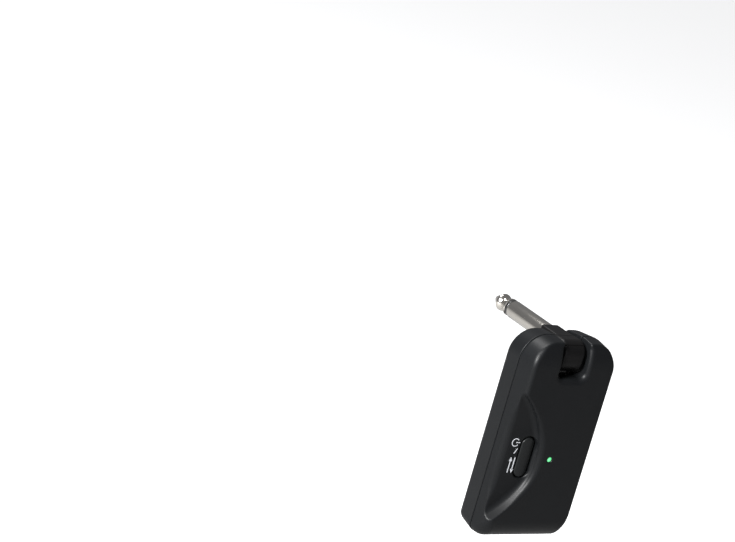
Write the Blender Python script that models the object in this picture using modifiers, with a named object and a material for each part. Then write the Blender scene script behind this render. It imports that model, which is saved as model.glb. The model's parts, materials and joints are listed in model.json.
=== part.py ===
"""Wireless guitar transmitter: a two-shell housing that swings on its own 6.35 mm jack plug.

The plug arm stays in the guitar's jack and the housing turns about it on a hinge along X.
World frame: +Z up the long axis, -Y the front with the button, +Y out along the plug.
The world origin is the middle of the plug's seating shoulder.

Sizes are in millimetres and new_object() turns them into metres. A place in the housing is
(x, depth behind the front face, height above a datum TOP below the top); a place in the arm
is (x, y, z) from the hinge axis.
"""

import math

import bmesh
import bpy
from mathutils import Matrix, Vector

MM = 0.001
MERGE = 0.00001
GAP = 0.3

# Housing
WIDTH = 35.5
TOP = 35.0
BOTTOM = -37.0
FRONT_DEPTH = 7.9
REAR_DEPTH = 9.5
TOP_RADIUS = 9.0
CHIN_RADIUS = 7.0
BROW_HEIGHT = 25.5
BROW_ANGLE = 16.0
WALL = 1.6
FRONT_INSET = (0.6, 0.6)
REAR_INSET = (1.5, 2.0)
FRONT_RIM = 1.5
REAR_RIM = 2.2
BACK = FRONT_DEPTH + REAR_DEPTH

# Hinge between the housing and the plug arm
HINGE_DEPTH = FRONT_DEPTH
HINGE_HEIGHT = 28.7
PLUG_RISE = 2.5
SHOULDER_DEPTH = 18.5
SHOULDER = SHOULDER_DEPTH - HINGE_DEPTH
NOTCH_WIDTH = 11.5
NOTCH_FLOOR = 22.35
NOTCH_RADIUS = 2.5
NOTCH_RELIEF = 6.3
PIN_RADIUS = 1.85
PIN_BORE = 1.1
PIN_HALF = 10.8
BUSH_RADIUS = 2.5
BUSH_FLANGE = 3.9
BUSH_LENGTH = 2.9
EAR_WALL = 1.4

# Channel that stows the plug in the back of the housing
CHANNEL_WIDTH = 8.0
CHANNEL_DEPTH = 6.9
CHANNEL_END = -14.2
CHANNEL_WALL = 1.3
CHANNEL_SKIN = 0.8

# Thumb scallop in the front face, open to the left flank
SCOOP_DEPTH = 3.5
SCOOP_REACH = 14.6
SCOOP_MIDDLE = -8.5
SCOOP_UP = 24.3
SCOOP_DOWN = 20.6
SCOOP_POWER = 2.35
SCOOP_SLOPE = 2.2
SCOOP_SKIN = 0.9

# Button, lamp and socket
BUTTON_X = -7.35
BUTTON_HEIGHT = -7.3
BUTTON_LENGTH = 14.0
BUTTON_WIDTH = 4.8
BUTTON_GAP = 0.6
BUTTON_FACE = 3.1
BUTTON_BACK = 4.85
LAMP_X = 0.85
LAMP_HEIGHT = -6.6
LAMP_RADIUS = 0.9
USB_DEPTH = 5.8
USB_WIDTH = 8.94
USB_THICKNESS = 3.26
USB_LENGTH = 7.3
USB_MOUTH = -36.2

# Circuit board and case screws
BOARD_FRONT = 5.25
BOARD_THICKNESS = 0.6
BOARD_BACK = BOARD_FRONT + BOARD_THICKNESS
BOARD_HALF = 15.0
BOARD_TOP = 13.0
SCREW_X = 11.4
SCREW_HEIGHTS = (16.0, -29.0)
SCREW_HOLE = 1.1
BOARD_SCREWS = ((12.8, 9.5), (12.8, -16.8), (-4.0, -25.5))

# Plug arm, measured from the hinge axis
ARM_WIDTH = 9.0
ARM_FRONT = -6.0
ARM_REAR = 5.0
ARM_TOP = 5.7
ARM_BOTTOM = -5.4
ARM_CORNER = 4.6
ARM_CAP = 1.5
NECK_WIDTH = 7.4
NECK_HALF = 3.2
NECK_START = 1.4
CAVITY_HALF = 3.1
CAVITY_END = 3.8
CAVITY_TOP = 5.0
CAVITY_BOTTOM = -3.9
CAVITY_CORNER = 3.6

# 6.35 mm two-pole plug, measured from the seating shoulder
PLUG_RADIUS = 3.175
PLUG_LENGTH = 31.0
SLEEVE_END = 20.6
RING_END = 21.8
SHANK_RADIUS = 1.75
SHANK_BORE = 1.45
ROD_RADIUS = 0.5
NUT_RADIUS = 2.7

ALONG_X = (0.0, math.pi / 2, 0.0)
ALONG_Y = (-math.pi / 2, 0.0, 0.0)
ALONG_Z = (0.0, 0.0, 0.0)


def clear_scene():
    for old in list(bpy.data.objects):
        bpy.data.objects.remove(old, do_unlink=True)


def new_collection(name):
    group = bpy.data.collections.new(name)
    bpy.context.scene.collection.children.link(group)
    return group


clear_scene()
PARTS = new_collection("wireless_guitar_transmitter")
CUTTERS = new_collection("cutters")
HINGE = bpy.data.objects.new("hinge_axis", None)
HINGE.location = (0.0, -SHOULDER * MM, -PLUG_RISE * MM)
PARTS.objects.link(HINGE)
PRESS = bpy.data.objects.new("button_slide", None)
PARTS.objects.link(PRESS)


# Materials

def material(name, colour, roughness, metallic=0.0):
    made = bpy.data.materials.new(name)
    made.use_nodes = True
    shader = made.node_tree.nodes["Principled BSDF"]
    shader.inputs["Base Color"].default_value = (*colour, 1.0)
    shader.inputs["Roughness"].default_value = roughness
    shader.inputs["Metallic"].default_value = metallic
    return made


CHARCOAL = material("charcoal_plastic", (0.020, 0.019, 0.021), 0.55)
ARM_PLASTIC = material("arm_plastic", (0.014, 0.013, 0.014), 0.45)
BUTTON_PLASTIC = material("button_plastic", (0.012, 0.012, 0.012), 0.40)
NICKEL = material("nickel_plate", (0.62, 0.60, 0.56), 0.22, 1.0)
INSULATOR = material("insulator_plastic", (0.010, 0.010, 0.010), 0.35)
STEEL = material("steel", (0.46, 0.46, 0.47), 0.35, 1.0)
BRASS = material("brass", (0.55, 0.38, 0.14), 0.35, 1.0)
ACETAL = material("acetal", (0.70, 0.69, 0.65), 0.50)
BLACK_ACETAL = material("black_acetal", (0.014, 0.014, 0.015), 0.45)
BOARD_GREEN = material("board_green", (0.010, 0.075, 0.030), 0.40)
CHIP_BLACK = material("chip_black", (0.018, 0.018, 0.019), 0.60)
CERAMIC = material("ceramic", (0.55, 0.53, 0.48), 0.60)
CELL_FOIL = material("cell_foil", (0.42, 0.43, 0.45), 0.30, 0.6)
FOAM = material("foam", (0.030, 0.030, 0.032), 0.95)
CLEAR = material("clear_acrylic", (0.55, 0.85, 0.60), 0.15)
RED_WIRE = material("red_wire", (0.45, 0.015, 0.012), 0.45)
BLACK_WIRE = material("black_wire", (0.012, 0.012, 0.013), 0.45)
WHITE_WIRE = material("white_wire", (0.62, 0.62, 0.60), 0.45)


# Places

def in_housing(x, depth, height):
    """A place in the housing, as a location under the hinge empty."""
    return Vector((x, depth - HINGE_DEPTH, height - HINGE_HEIGHT)) * MM


def in_arm(x, y, z):
    """A place measured from the hinge axis, as a world location."""
    return Vector((x, y - SHOULDER, z - PLUG_RISE)) * MM


# Objects

def smooth(mesh):
    mesh.shade_smooth()
    mesh.set_sharp_from_angle(angle=math.radians(32))


def link(obj, paint, parent, cutter):
    if cutter:
        CUTTERS.objects.link(obj)
        obj.hide_render = True
        obj.display_type = "WIRE"
    else:
        PARTS.objects.link(obj)
        obj.data.materials.append(paint)
    obj.parent = parent
    return obj


def new_object(name, form, paint=None, at=(0, 0, 0), turn=ALONG_Z, parent=HINGE, cutter=False):
    """Makes an object in metres from a bmesh in millimetres."""
    bmesh.ops.recalc_face_normals(form, faces=form.faces)
    bmesh.ops.scale(form, vec=(MM, MM, MM), verts=form.verts)
    mesh = bpy.data.meshes.new(name)
    form.to_mesh(mesh)
    form.free()
    smooth(mesh)
    obj = bpy.data.objects.new(name, mesh)
    obj.location = at
    obj.rotation_euler = turn
    return link(obj, paint, parent, cutter)


def combine(target, other, operation="DIFFERENCE"):
    step = target.modifiers.new(other.name, "BOOLEAN")
    step.operation = operation
    step.solver = "EXACT"
    step.object = other


# Forms, in millimetres about their own middle

def block(width, depth, height):
    form = bmesh.new()
    bmesh.ops.create_cube(form, size=1.0)
    bmesh.ops.scale(form, vec=(width, depth, height), verts=form.verts)
    return form


def edges_along(form, axis, keep=lambda middle: True):
    chosen = []
    for edge in form.edges:
        run = edge.verts[1].co - edge.verts[0].co
        if abs(run[axis]) > 0.999 * run.length and keep((edge.verts[0].co + edge.verts[1].co) / 2):
            chosen.append(edge)
    return chosen


def round_edges(form, edges, radius, segments):
    bmesh.ops.bevel(form, geom=edges, offset=radius, offset_type="OFFSET", segments=segments,
                    profile=0.5, affect="EDGES", clamp_overlap=False)
    bmesh.ops.remove_doubles(form, verts=form.verts, dist=0.001)


def rounded_block(width, depth, height, radius, axis=1, segments=3):
    form = block(width, depth, height)
    round_edges(form, edges_along(form, axis), radius, segments)
    return form


def rod(radius, length, sides=20):
    form = bmesh.new()
    bmesh.ops.create_cone(form, cap_ends=True, segments=sides, radius1=radius, radius2=radius,
                          depth=length)
    return form


def turned(name, profile, paint, at, turn, parent=HINGE, steps=24, closed=True):
    """Turns a profile of (radius, height) about its axis; it runs down its outer side."""
    form = bmesh.new()
    points = [form.verts.new((radius, 0.0, height)) for radius, height in profile]
    for first, second in zip(points, points[1:]):
        form.edges.new((first, second))
    if closed:
        form.edges.new((points[-1], points[0]))
    obj = new_object(name, form, paint, at, turn, parent)
    screw = obj.modifiers.new("turn", "SCREW")
    screw.steps = steps
    screw.render_steps = steps
    screw.use_merge_vertices = True
    screw.merge_threshold = MERGE
    return obj


def ring(name, inner, outer, length, paint, at, turn, parent=HINGE, steps=20):
    half = length / 2
    profile = ((outer, half), (outer, -half), (inner, -half), (inner, half))
    return turned(name, profile, paint, at, turn, parent, steps)


def smooth_route(corners, steps=3):
    """Points on a Catmull-Rom curve through the route's own points."""
    ends = [corners[0] * 2 - corners[1]] + corners + [corners[-1] * 2 - corners[-2]]
    points = []
    for before, start, stop, after in zip(ends, ends[1:], ends[2:], ends[3:]):
        for step in range(steps):
            t = step / steps
            points.append(0.5 * (2 * start + (stop - before) * t
                                 + (2 * before - 5 * start + 4 * stop - after) * t ** 2
                                 + (3 * start - before - 3 * stop + after) * t ** 3))
    points.append(corners[-1])
    return points


def lead(name, corners, paint, parent, radius=0.35):
    """An insulated wire along the route, with closed ends."""
    curve = bpy.data.curves.new(name, "CURVE")
    curve.dimensions = "3D"
    curve.bevel_depth = radius * MM
    curve.bevel_resolution = 1
    curve.use_fill_caps = True
    points = smooth_route([Vector(corner) for corner in corners])
    spline = curve.splines.new("POLY")
    spline.points.add(len(points) - 1)
    for knot, point in zip(spline.points, points):
        knot.co = (*point, 1.0)
    return link(bpy.data.objects.new(name, curve), paint, parent, False)


# Housing shells

def corner_edges(form, facing):
    """Edges between the face and the flanks, and the bottom corners', but none at the parting."""
    chosen = []
    for edge in form.edges:
        away = [vert.co.y * facing for vert in edge.verts]
        if max(away) < 0.01 or len(edge.link_faces) != 2:
            continue
        if edge.calc_face_angle() > math.radians(40):
            chosen.append(edge)
    return chosen


def cut_brow(form, depth):
    """Slopes the top of the front face back, above BROW_HEIGHT."""
    angle = math.radians(BROW_ANGLE)
    geometry = form.verts[:] + form.edges[:] + form.faces[:]
    cut = bmesh.ops.bisect_plane(form, geom=geometry, plane_co=(0, -depth, BROW_HEIGHT),
                                 plane_no=(0, -math.cos(angle), math.sin(angle)), clear_outer=True)
    rim = [item for item in cut["geom_cut"] if isinstance(item, bmesh.types.BMEdge)]
    bmesh.ops.contextual_create(form, geom=rim)


def shell_form(depth, facing, inset, rim, chin=0.0, wall=0.0):
    """The housing's outline at y = 0, tapering to a rounded face at y = facing * depth."""
    half_width = WIDTH / 2 - wall
    top = TOP - wall
    bottom = BOTTOM + wall
    form = block(2 * half_width, depth, top - bottom)
    bmesh.ops.translate(form, vec=(0, facing * depth / 2, (top + bottom) / 2), verts=form.verts)
    if chin:
        lower = edges_along(form, 0, lambda middle: middle.z < 0 and middle.y * facing > depth / 2)
        round_edges(form, lower, chin, 6)
    round_edges(form, edges_along(form, 1, lambda middle: middle.z > 0), TOP_RADIUS - wall, 7)
    side, end = inset
    for vert in form.verts:
        share = vert.co.y * facing / depth
        vert.co.x *= 1 - share * side / half_width
        vert.co.z *= 1 - share * end / (top if vert.co.z > 0 else -bottom)
    if chin:
        cut_brow(form, depth)
    round_edges(form, corner_edges(form, facing), rim, 3)
    return form


def scoop_edge(height, grow):
    """How far the scallop reaches in from the left flank at a height, grown by a margin."""
    away = height - SCOOP_MIDDLE
    span = (SCOOP_UP if away > 0 else SCOOP_DOWN) + grow
    share = 1 - min(1.0, abs(away) / span) ** SCOOP_POWER
    return -WIDTH / 2 + (SCOOP_REACH + grow) * share


def scoop_form(depth, front_grow, floor_grow, rows=16):
    """The bell-shaped scallop, wide at the front face and narrower at its floor."""
    outside = -WIDTH / 2 - 2.0
    form = bmesh.new()

    def outline(grow, y):
        top = SCOOP_MIDDLE + SCOOP_UP + grow
        bottom = SCOOP_MIDDLE - SCOOP_DOWN - grow
        points = [Vector((outside, y, top))]
        for row in range(rows + 1):
            height = top + (bottom - top) * (1 - math.cos(math.pi * row / rows)) / 2
            points.append(Vector((scoop_edge(height, grow), y, height)))
        points.append(Vector((outside, y, bottom)))
        return points

    floor = [form.verts.new(point) for point in outline(floor_grow, depth)]
    face = form.faces.new(floor)
    grown = bmesh.ops.extrude_face_region(form, geom=[face])
    bmesh.ops.recalc_face_normals(form, faces=form.faces)
    raised = [item for item in grown["geom"] if isinstance(item, bmesh.types.BMVert)]
    # Each raised corner still lies on the floor corner that it was extruded from.
    targets = dict(zip([tuple(point) for point in outline(floor_grow, depth)],
                       outline(front_grow, -1.0)))
    for vert in raised:
        nearest = min(targets, key=lambda key: (Vector(key) - vert.co).length)
        vert.co = targets[nearest]
    return form


def shell_cutter(name, form, depth=HINGE_DEPTH, x=0.0, height=0.0, turn=ALONG_Z):
    return new_object(name, form, at=in_housing(x, depth, height), turn=turn, cutter=True)


def notch_form(margin):
    """The notch that the arm swings in, open at the front, the top and the back."""
    height = TOP - NOTCH_FLOOR + margin + 2.0
    form = block(NOTCH_WIDTH + 2 * margin, BACK + 4.0, height)
    lower = edges_along(form, 1, lambda middle: middle.z < 0)
    round_edges(form, lower, NOTCH_RADIUS + margin, 3)
    bmesh.ops.translate(form, vec=(0, 0, height / 2), verts=form.verts)
    return form


def channel_form(margin, floor):
    """The plug's channel, from its floor out through the back."""
    depth = BACK - floor + 2.0
    height = NOTCH_FLOOR + 1.0 - CHANNEL_END + margin
    form = block(CHANNEL_WIDTH + 2 * margin, depth, height)
    middle = (NOTCH_FLOOR + 1.0 + CHANNEL_END - margin) / 2
    bmesh.ops.translate(form, vec=(0, floor + depth / 2, middle), verts=form.verts)
    return form


def shared_cutters():
    """Cuts that both shells take."""
    return {
        "notch": shell_cutter("notch_cut", notch_form(0.0), height=NOTCH_FLOOR),
        "notch_wall": shell_cutter("notch_wall_keep", notch_form(EAR_WALL),
                                   height=NOTCH_FLOOR - EAR_WALL),
        "channel": shell_cutter("channel_cut", channel_form(0.0, CHANNEL_DEPTH), depth=0.0),
        "hinge": shell_cutter("hinge_bore_cut", rod(BUSH_RADIUS + GAP, 2 * (NOTCH_WIDTH / 2 + 2.4)),
                              height=HINGE_HEIGHT, turn=ALONG_X),
        "usb": shell_cutter("usb_opening_cut",
                            rounded_block(USB_WIDTH + 0.7, USB_THICKNESS + 0.7, 9.0, 1.9, axis=2),
                            depth=USB_DEPTH, height=BOTTOM),
        "relief": shell_cutter("arm_relief_cut", rod(NOTCH_RELIEF, NOTCH_WIDTH, 48), height=HINGE_HEIGHT,
                               turn=ALONG_X),
    }


def screw_places():
    return [(side * SCREW_X, height) for height in SCREW_HEIGHTS for side in (-1, 1)]


def make_front_cover(cuts):
    outer = shell_form(FRONT_DEPTH - GAP / 2, -1, FRONT_INSET, FRONT_RIM, CHIN_RADIUS)
    cover = new_object("front_cover", outer, CHARCOAL, at=in_housing(0, FRONT_DEPTH - GAP / 2, 0))
    inner = shell_form(FRONT_DEPTH - WALL + 1.0, -1, FRONT_INSET, 0.8, CHIN_RADIUS - WALL, WALL)
    hollow = shell_cutter("front_hollow", inner, depth=FRONT_DEPTH + 1.0)
    combine(hollow, cuts["notch_wall"])
    backing = shell_cutter("scallop_backing", scoop_form(SCOOP_DEPTH + SCOOP_SKIN, 1.2, 0.0, 10), depth=0.0)
    combine(hollow, backing)
    for number, (x, height) in enumerate(screw_places(), 1):
        boss = shell_cutter(f"front_boss_{number}", rod(2.2, 12.0, 16), depth=2.0, x=x, height=height,
                            turn=ALONG_Y)
        combine(hollow, boss)
    for number, (x, height) in enumerate(BOARD_SCREWS, 1):
        post = shell_cutter(f"board_post_{number}", rod(1.6, 8.0, 12), depth=BOARD_FRONT - GAP - 4.0, x=x,
                            height=height, turn=ALONG_Y)
        combine(hollow, post)
    combine(cover, hollow)
    scallop = shell_cutter("scallop_cut", scoop_form(SCOOP_DEPTH, 0.0, -SCOOP_SLOPE), depth=0.0)
    opening = rounded_block(BUTTON_WIDTH + 2 * BUTTON_GAP, 12.0, BUTTON_LENGTH + 2 * BUTTON_GAP,
                            (BUTTON_WIDTH / 2 + BUTTON_GAP) * 0.998, segments=5)
    button_hole = shell_cutter("button_opening_cut", opening, depth=0.0, x=BUTTON_X, height=BUTTON_HEIGHT)
    lamp_hole = shell_cutter("lamp_hole_cut", rod(LAMP_RADIUS + GAP, 8.0, 16), depth=0.0, x=LAMP_X,
                             height=LAMP_HEIGHT, turn=ALONG_Y)
    for cut in (scallop, button_hole, lamp_hole, cuts["notch"], cuts["relief"], cuts["channel"],
                cuts["hinge"], cuts["usb"]):
        combine(cover, cut)
    for number, (x, height) in enumerate(screw_places(), 1):
        hole = shell_cutter(f"front_screw_hole_{number}", rod(SCREW_HOLE, 12.0, 12), depth=8.6, x=x,
                            height=height, turn=ALONG_Y)
        combine(cover, hole)
    for number, (x, height) in enumerate(BOARD_SCREWS, 1):
        hole = shell_cutter(f"post_hole_{number}", rod(0.8, 8.0, 10), depth=6.0, x=x, height=height,
                            turn=ALONG_Y)
        combine(cover, hole)


def make_rear_cover(cuts):
    cover = new_object("rear_cover", shell_form(REAR_DEPTH - GAP / 2, 1, REAR_INSET, REAR_RIM),
                       CHARCOAL, at=in_housing(0, FRONT_DEPTH + GAP / 2, 0))
    hollow = shell_cutter("rear_hollow", shell_form(REAR_DEPTH - WALL + 1.0, 1, REAR_INSET, 1.0, 0.0, WALL),
                          depth=FRONT_DEPTH - 1.0)
    combine(hollow, cuts["notch_wall"])
    keep = shell_cutter("channel_wall_keep", channel_form(CHANNEL_WALL, CHANNEL_DEPTH - CHANNEL_SKIN),
                        depth=0.0)
    combine(hollow, keep)
    for number, (x, height) in enumerate(screw_places(), 1):
        boss = shell_cutter(f"rear_boss_{number}", rod(2.4, 14.0, 16), depth=14.0, x=x, height=height,
                            turn=ALONG_Y)
        combine(hollow, boss)
    combine(cover, hollow)
    floor_depth = FRONT_DEPTH + 1.5 - (CHANNEL_DEPTH - CHANNEL_SKIN)
    floor_top = NOTCH_FLOOR - EAR_WALL - GAP
    floor_bottom = CHANNEL_END - CHANNEL_WALL
    trough = shell_cutter("channel_floor",
                          block(CHANNEL_WIDTH + 2 * CHANNEL_WALL, floor_depth, floor_top - floor_bottom),
                          depth=FRONT_DEPTH + 1.5 - floor_depth / 2, height=(floor_top + floor_bottom) / 2)
    combine(cover, trough, "UNION")
    for cut in (cuts["notch"], cuts["relief"], cuts["channel"], cuts["hinge"], cuts["usb"]):
        combine(cover, cut)
    for number, (x, height) in enumerate(screw_places(), 1):
        hole = shell_cutter(f"rear_screw_hole_{number}", rod(SCREW_HOLE, 24.0, 12), depth=10.0, x=x,
                            height=height, turn=ALONG_Y)
        well = shell_cutter(f"rear_screw_well_{number}", rod(1.9, 6.0, 16), depth=15.9, x=x,
                            height=height, turn=ALONG_Y)
        combine(cover, hole)
        combine(cover, well)


def make_case_screws():
    for number, (x, height) in enumerate(screw_places(), 1):
        profile = ((0, 0), (1.2, 0), (1.5, -0.3), (1.5, -1.1), (0.75, -1.1), (0.75, -10.6), (0, -11.3))
        turned(f"case_screw_{number}", profile, STEEL, in_housing(x, 14.3, height), ALONG_Y, steps=12,
               closed=False)


def make_board_screws():
    for number, (x, height) in enumerate(BOARD_SCREWS, 1):
        profile = ((0, 0), (1.1, 0), (1.1, -0.6), (0.5, -0.6), (0.5, -4.2), (0, -4.2))
        turned(f"board_screw_{number}", profile, STEEL, in_housing(x, BOARD_BACK + GAP + 0.6, height),
               ALONG_Y, steps=10, closed=False)


# Electronics

def make_board():
    """Board with a narrow tail between the lower case screws, cut for the socket."""
    tail_half = 8.4
    tail_top = -26.2
    tail_length = 8.6
    form = block(2 * BOARD_HALF, BOARD_THICKNESS, BOARD_TOP - tail_top)
    board = new_object("main_board", form, BOARD_GREEN,
                       at=in_housing(0, BOARD_FRONT + BOARD_THICKNESS / 2, (BOARD_TOP + tail_top) / 2))
    tail = shell_cutter("board_tail", block(2 * tail_half, BOARD_THICKNESS, tail_length),
                        depth=BOARD_FRONT + BOARD_THICKNESS / 2, height=tail_top + 0.4 - tail_length / 2)
    combine(board, tail, "UNION")
    socket = shell_cutter("board_socket_cut", block(USB_WIDTH + 0.8, 4.0, 2 * USB_LENGTH), depth=BOARD_FRONT,
                          height=USB_MOUTH + 0.6)
    combine(board, socket)
    for number, (x, height) in enumerate(BOARD_SCREWS, 1):
        hole = shell_cutter(f"board_hole_{number}", rod(0.8, 4.0, 10), depth=BOARD_FRONT, x=x,
                            height=height, turn=ALONG_Y)
        combine(board, hole)


def chip(name, paint, x, height, size, front=True, lift=GAP):
    """A package soldered to the front or the back of the board; size is (x, depth, z)."""
    half = size[1] / 2
    depth = BOARD_FRONT - lift - half if front else BOARD_BACK + lift + half
    form = rounded_block(*size, 0.12, axis=1, segments=1)
    return new_object(name, form, paint, at=in_housing(x, depth, height))


def make_chips():
    chip("radio_chip", CHIP_BLACK, 9.2, -7.4, (5.0, 0.8, 5.0))
    chip("audio_codec", CHIP_BLACK, 8.2, 5.6, (5.0, 0.8, 5.0))
    chip("charger_chip", CHIP_BLACK, 8.6, -15.2, (3.0, 0.8, 3.0), front=False)
    chip("crystal", CERAMIC, 3.2, 5.6, (2.0, 0.7, 1.6))
    chip("chip_antenna", CERAMIC, 12.6, 1.2, (2.0, 1.0, 6.0))
    chip("lamp_emitter", CERAMIC, LAMP_X, LAMP_HEIGHT, (1.6, 0.6, 1.6))


def make_shield_can():
    can = new_object("radio_shield_can", rounded_block(9.0, 1.8, 10.0, 0.5, axis=1, segments=1), STEEL,
                     at=in_housing(9.2, BOARD_FRONT - GAP - 0.9, -7.4))
    inside = shell_cutter("shield_can_hollow", block(8.4, 1.8, 9.4), depth=BOARD_FRONT - GAP - 0.6, x=9.2,
                          height=-7.4)
    combine(can, inside)


def make_usb_socket():
    middle = USB_MOUTH + USB_LENGTH / 2
    shell = new_object("usb_c_shell", rounded_block(USB_WIDTH, USB_THICKNESS, USB_LENGTH, 1.5, axis=2),
                       STEEL, at=in_housing(0, USB_DEPTH, middle))
    bore = shell_cutter("usb_bore",
                        rounded_block(USB_WIDTH - 0.6, USB_THICKNESS - 0.6, USB_LENGTH, 1.25, axis=2),
                        depth=USB_DEPTH, height=middle - 0.5)
    combine(shell, bore)
    new_object("usb_c_tongue", rounded_block(6.6, 0.7, 4.6, 0.2, axis=1, segments=1), CHIP_BLACK,
               at=in_housing(0, USB_DEPTH, USB_MOUTH + USB_LENGTH - 0.5 - GAP - 2.3))


def make_battery():
    cell_depth = 11.6
    cell_height = -25.1
    cell_thickness = 6.4
    form = rounded_block(17.0, cell_thickness, 16.2, 1.2, axis=2, segments=2)
    new_object("battery_cell", form, CELL_FOIL, at=in_housing(0, cell_depth, cell_height))
    new_object("battery_foam_pad", block(14.0, 0.5, 12.0), FOAM,
               at=in_housing(0, cell_depth + cell_thickness / 2 + GAP + 0.25, cell_height))
    chip("battery_connector", ACETAL, 12.0, -21.8, (3.8, 3.0, 3.0), front=False)
    for name, paint, start, stop in (("battery_lead_positive", RED_WIRE, 6.6, 12.8),
                                     ("battery_lead_negative", BLACK_WIRE, 7.8, 11.2)):
        rise = 1.2 * (8.0 - start)
        corners = [in_housing(start, 12.4, -16.6), in_housing(start + 0.1, 12.2, -15.6 + rise / 3),
                   in_housing(start + 1.6, 11.8, -14.6 + rise), in_housing(stop - 0.8, 11.2, -15.6 + rise),
                   in_housing(stop, 10.4, -18.6 + rise / 2), in_housing(stop, 9.6, -21.8)]
        lead(name, corners, paint, HINGE)


def make_lamp_pipe():
    length = BOARD_FRONT - 2 * GAP - 0.6 - 0.1
    profile = ((0, length / 2), (LAMP_RADIUS - 0.15, length / 2), (LAMP_RADIUS, length / 2 - 0.15),
               (LAMP_RADIUS, -length / 2), (0, -length / 2))
    turned("lamp_light_pipe", profile, CLEAR, in_housing(LAMP_X, 0.1 + length / 2, LAMP_HEIGHT),
           (math.pi / 2, 0.0, 0.0), steps=16, closed=False)


# Button and its switch; both slide along +Y under one empty

def make_button():
    PRESS.parent = HINGE
    PRESS.location = in_housing(BUTTON_X, BUTTON_FACE, BUTTON_HEIGHT)
    depth = BUTTON_BACK - BUTTON_FACE
    form = rounded_block(BUTTON_WIDTH, depth, BUTTON_LENGTH, BUTTON_WIDTH / 2 * 0.998, segments=5)
    rim = [edge for edge in form.edges if all(vert.co.y < -depth / 2 + 0.01 for vert in edge.verts)]
    round_edges(form, rim, 0.4, 2)
    button = new_object("sync_button", form, BUTTON_PLASTIC, at=(0, depth / 2 * MM, 0), parent=PRESS)
    flange_width = BUTTON_WIDTH + 2 * BUTTON_GAP + 0.9
    flange_length = BUTTON_LENGTH + 2 * BUTTON_GAP + 0.9
    flange = new_object("button_flange",
                        rounded_block(flange_width, 0.25, flange_length, flange_width / 2 * 0.998,
                                      segments=5),
                        at=(0, (depth - 0.125) * MM, 0), parent=PRESS, cutter=True)
    combine(button, flange, "UNION")
    pocket = new_object("button_pocket", block(3.4, 2.0, 4.8), at=(0, (3.95 + 1.0 - BUTTON_FACE) * MM, 0),
                        parent=PRESS, cutter=True)
    combine(button, pocket)
    plunger = rod(0.8, 0.5, 16)
    new_object("switch_plunger", plunger, CERAMIC, at=(0, (4.45 - BUTTON_FACE) * MM, 0), turn=ALONG_Y,
               parent=PRESS)
    body = new_object("switch_body", rounded_block(2.8, 0.5, 4.2, 0.2, segments=1), STEEL,
                      at=in_housing(BUTTON_X, BOARD_FRONT - GAP - 0.25, BUTTON_HEIGHT))
    well = shell_cutter("switch_well", rod(1.1, 2.0, 16), depth=BOARD_FRONT - GAP, x=BUTTON_X,
                        height=BUTTON_HEIGHT, turn=ALONG_Y)
    combine(body, well)


# Hinge

def make_hinge():
    half = PIN_HALF
    profile = ((PIN_RADIUS, half), (PIN_RADIUS, -half), (PIN_BORE, -half), (PIN_BORE, half))
    pin = turned("hinge_pin", profile, STEEL, in_arm(0, 0, 0), ALONG_X, parent=None)
    slot = new_object("hinge_pin_slot", block(3.2, 2.4, 1.6), at=in_arm(0, -1.2, 0), parent=None, cutter=True)
    combine(pin, slot)
    for side, word in ((-1, "left"), (1, "right")):
        inner = ARM_WIDTH / 2 + GAP
        flange = NOTCH_WIDTH / 2 - inner - GAP
        profile = ((BUSH_RADIUS, BUSH_LENGTH), (BUSH_RADIUS, flange), (BUSH_FLANGE, flange),
                   (BUSH_FLANGE, 0.0), (PIN_RADIUS + GAP, 0.0), (PIN_RADIUS + GAP, BUSH_LENGTH))
        turned(f"hinge_bush_{word}", profile, BLACK_ACETAL,
               in_housing(side * inner, HINGE_DEPTH, HINGE_HEIGHT), (0.0, side * math.pi / 2, 0.0))
        ring(f"pin_retaining_ring_{word}", PIN_RADIUS + GAP, 3.0, 0.7, STEEL,
             in_arm(side * 9.9, 0, 0), ALONG_X, parent=None)
        clip = ring(f"friction_clip_{word}", PIN_RADIUS + GAP, 2.9, 1.2, BRASS,
                    in_housing(side * 8.6, HINGE_DEPTH, HINGE_HEIGHT), ALONG_X)
        opening = shell_cutter(f"clip_opening_{word}", block(3.0, 2.0, 4.0), depth=HINGE_DEPTH,
                               x=side * 8.6, height=HINGE_HEIGHT - 3.0)
        combine(clip, opening)


# Plug arm

def arm_form(front, rear):
    """Rounded square in side view, seen along X."""
    form = block(ARM_WIDTH, ARM_REAR - ARM_FRONT, ARM_TOP - ARM_BOTTOM)
    round_edges(form, edges_along(form, 0), ARM_CORNER, 5)
    bmesh.ops.translate(form, vec=(0, (ARM_REAR + ARM_FRONT) / 2, (ARM_TOP + ARM_BOTTOM) / 2),
                        verts=form.verts)
    for place, direction in ((front, -1), (rear, 1)):
        geometry = form.verts[:] + form.edges[:] + form.faces[:]
        cut = bmesh.ops.bisect_plane(form, geom=geometry, plane_co=(0, place, 0),
                                     plane_no=(0, direction, 0), clear_outer=True)
        rim = [item for item in cut["geom_cut"] if isinstance(item, bmesh.types.BMEdge)]
        if rim:
            bmesh.ops.contextual_create(form, geom=rim)
    return form


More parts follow.
